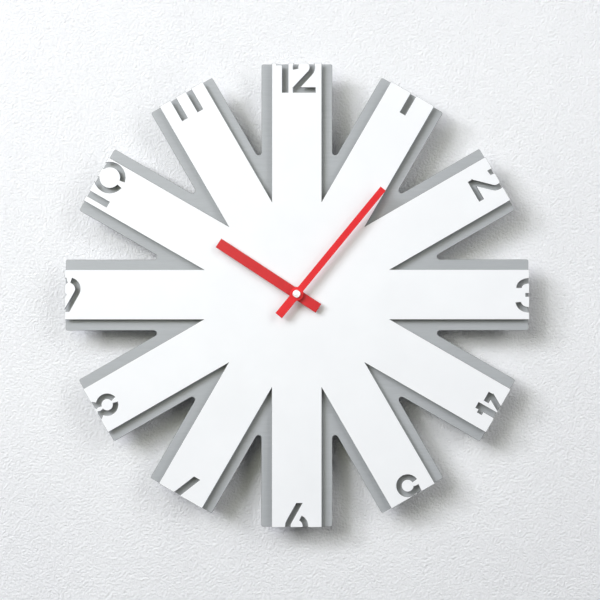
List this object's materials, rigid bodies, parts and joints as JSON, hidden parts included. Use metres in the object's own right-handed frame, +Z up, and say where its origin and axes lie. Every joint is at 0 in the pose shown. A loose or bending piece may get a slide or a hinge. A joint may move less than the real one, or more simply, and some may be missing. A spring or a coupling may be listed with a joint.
{
  "type": "wall clock",
  "caption": "Wall clock made of two stacked sheet-metal stars with stencil numerals cut through the arm tips, plain red hands and a battery quartz movement behind.",
  "frame": {"origin": "where the dial axis meets the wall plane, which is the rear face of the movement", "axes": "+Y into the wall, so the dial faces -Y; +Z up towards twelve; +X towards three"},
  "size_m": [0.4, 0.0353, 0.4],
  "materials": {
    "white_lacquer": "satin white lacquer on steel sheet",
    "grey_lacquer": "satin grey lacquer on steel sheet",
    "red_lacquer": "red lacquer on aluminium",
    "dark_red_lacquer": "red lacquer on aluminium",
    "polished_nickel": "polished nickel",
    "zinc_steel": "zinc plated",
    "brass": "turned brass",
    "black_moulding": "black moulding with a fine grain",
    "black_rubber": "plain",
    "white_nylon": "natural nylon",
    "magnet": "sintered ferrite",
    "copper_wire": "enamelled copper winding",
    "board": "green solder mask",
    "resin": "black potting resin",
    "cell_jacket": "plain foil jacket"
  },
  "bodies": {
    "fixed_body": {"front_plate": "white_lacquer", "back_plate": "grey_lacquer", "plate_stud_1": "zinc_steel", "plate_stud_2": "zinc_steel", "plate_stud_3": "zinc_steel", "plate_stud_4": "zinc_steel", "stud_nut_1": "zinc_steel", "stud_nut_2": "zinc_steel", "stud_nut_3": "zinc_steel", "stud_nut_4": "zinc_steel", "hanger_plate": "zinc_steel", "rubber_washer": "black_rubber", "shaft_nut": "brass", "shaft_bushing": "brass", "movement_case": "black_moulding", "movement_cover": "black_moulding", "train_bridge": "black_moulding", "stator": "zinc_steel", "coil_core": "zinc_steel", "coil": "copper_wire", "circuit_board": "board", "quartz_can": "polished_nickel", "driver_chip": "resin", "contact_positive": "polished_nickel", "contact_negative": "polished_nickel", "battery_cell": "cell_jacket"},
    "minute_body": {"minute_hand": "red_lacquer", "minute_hand_collet": "brass", "cap_nut": "polished_nickel", "cannon_pinion": "zinc_steel"},
    "hour_body": {"hour_hand": "dark_red_lacquer", "hour_hand_collet": "brass", "hour_wheel": "white_nylon"},
    "motion_body": {"motion_wheel": "white_nylon"},
    "knob_body": {"setting_knob": "black_moulding"},
    "rotor_body": {"rotor": "magnet"},
    "intermediate_body": {"intermediate_wheel": "white_nylon"},
    "seconds_body": {"seconds_wheel": "white_nylon"},
    "third_body": {"third_wheel": "white_nylon"},
    "centre_body": {"centre_wheel": "white_nylon"}
  },
  "joints": [
    {"name": "minute_hand_turn", "type": "hinge", "parent": "fixed_body", "child": "minute_body", "pos_m": [0, -0.032, 0], "axis": [0, 1, 0], "continuous": true},
    {"name": "hour_hand_turn", "type": "hinge", "parent": "fixed_body", "child": "hour_body", "pos_m": [0, -0.029, 0], "axis": [0, 1, 0], "continuous": true},
    {"name": "motion_wheel_turn", "type": "hinge", "parent": "fixed_body", "child": "motion_body", "pos_m": [0, -0.012, 0.0075], "axis": [0, 1, 0], "continuous": true},
    {"name": "setting_knob_turn", "type": "hinge", "parent": "fixed_body", "child": "knob_body", "pos_m": [0, -0.0015, 0.015], "axis": [0, 1, 0], "continuous": true},
    {"name": "rotor_spin", "type": "hinge", "parent": "fixed_body", "child": "rotor_body", "pos_m": [0.0126, -0.004, 0.003], "axis": [0, 1, 0], "continuous": true},
    {"name": "intermediate_wheel_turn", "type": "hinge", "parent": "fixed_body", "child": "intermediate_body", "pos_m": [0.0074, -0.006, 0], "axis": [0, 1, 0], "continuous": true},
    {"name": "seconds_wheel_turn", "type": "hinge", "parent": "fixed_body", "child": "seconds_body", "pos_m": [0, -0.007, 0], "axis": [0, 1, 0], "continuous": true},
    {"name": "third_wheel_turn", "type": "hinge", "parent": "fixed_body", "child": "third_body", "pos_m": [-0.0072, -0.008, 0], "axis": [0, 1, 0], "continuous": true},
    {"name": "centre_wheel_turn", "type": "hinge", "parent": "fixed_body", "child": "centre_body", "pos_m": [0, -0.009, 0], "axis": [0, 1, 0], "continuous": true}
  ],
  "couplings": [
    {"joint": "hour_hand_turn", "follows": "minute_hand_turn", "ratio": 0.083333},
    {"joint": "motion_wheel_turn", "follows": "minute_hand_turn", "ratio": -0.33333},
    {"joint": "setting_knob_turn", "follows": "minute_hand_turn", "ratio": 1},
    {"joint": "intermediate_wheel_turn", "follows": "rotor_spin", "ratio": -0.2},
    {"joint": "seconds_wheel_turn", "follows": "rotor_spin", "ratio": 0.033333},
    {"joint": "third_wheel_turn", "follows": "rotor_spin", "ratio": -0.0044444},
    {"joint": "centre_wheel_turn", "follows": "rotor_spin", "ratio": 0.00055556}
  ]
}
